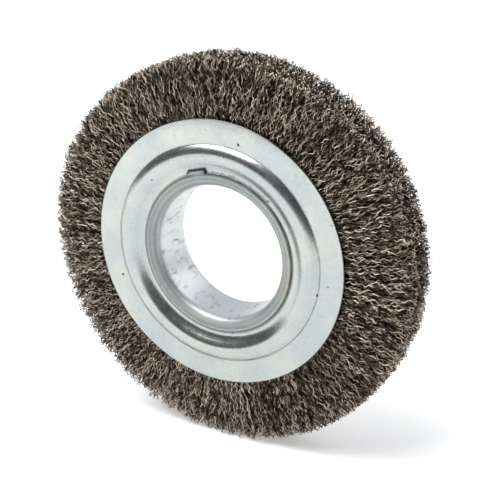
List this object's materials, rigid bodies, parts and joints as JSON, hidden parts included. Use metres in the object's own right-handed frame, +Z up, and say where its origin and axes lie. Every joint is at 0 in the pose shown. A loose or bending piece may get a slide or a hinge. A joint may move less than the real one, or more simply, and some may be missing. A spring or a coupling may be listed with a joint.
{
  "type": "wire wheel brush",
  "caption": "Flat wheel brush of crimped steel wire held between two pressed side plates on a flared arbor sleeve, for a bench grinder.",
  "frame": {"origin": "centre of the arbor hole, on the spin axis, midway between the two side plates", "axes": "+Y along the spin axis towards the rear plate, so the front plate looks along -Y; +Z up, with the wheel standing upright"},
  "size_m": [0.15, 0.0258, 0.15],
  "materials": {
    "zinc_plate": "bright zinc plating, satin, with fine scratches",
    "zinc_sleeve": "bright zinc plating, turned and scuffed in the bore",
    "plain_steel": "plain drawn steel",
    "crimped_wire": "oil-tempered crimped wire, brown grey"
  },
  "bodies": {
    "root": {"arbor_sleeve": "zinc_sleeve", "front_side_plate": "zinc_plate", "rear_side_plate": "zinc_plate", "row_divider": "plain_steel", "front_retaining_ring": "plain_steel", "rear_retaining_ring": "plain_steel", "front_wire_bundle_01": "crimped_wire", "front_wire_bundle_02": "crimped_wire", "front_wire_bundle_03": "crimped_wire", "front_wire_bundle_04": "crimped_wire", "front_wire_bundle_05": "crimped_wire", "front_wire_bundle_06": "crimped_wire", "front_wire_bundle_07": "crimped_wire", "front_wire_bundle_08": "crimped_wire", "front_wire_bundle_09": "crimped_wire", "front_wire_bundle_10": "crimped_wire", "front_wire_bundle_11": "crimped_wire", "front_wire_bundle_12": "crimped_wire", "rear_wire_bundle_01": "crimped_wire", "rear_wire_bundle_02": "crimped_wire", "rear_wire_bundle_03": "crimped_wire", "rear_wire_bundle_04": "crimped_wire", "rear_wire_bundle_05": "crimped_wire", "rear_wire_bundle_06": "crimped_wire", "rear_wire_bundle_07": "crimped_wire", "rear_wire_bundle_08": "crimped_wire", "rear_wire_bundle_09": "crimped_wire", "rear_wire_bundle_10": "crimped_wire", "rear_wire_bundle_11": "crimped_wire", "rear_wire_bundle_12": "crimped_wire"}
  },
  "joints": []
}
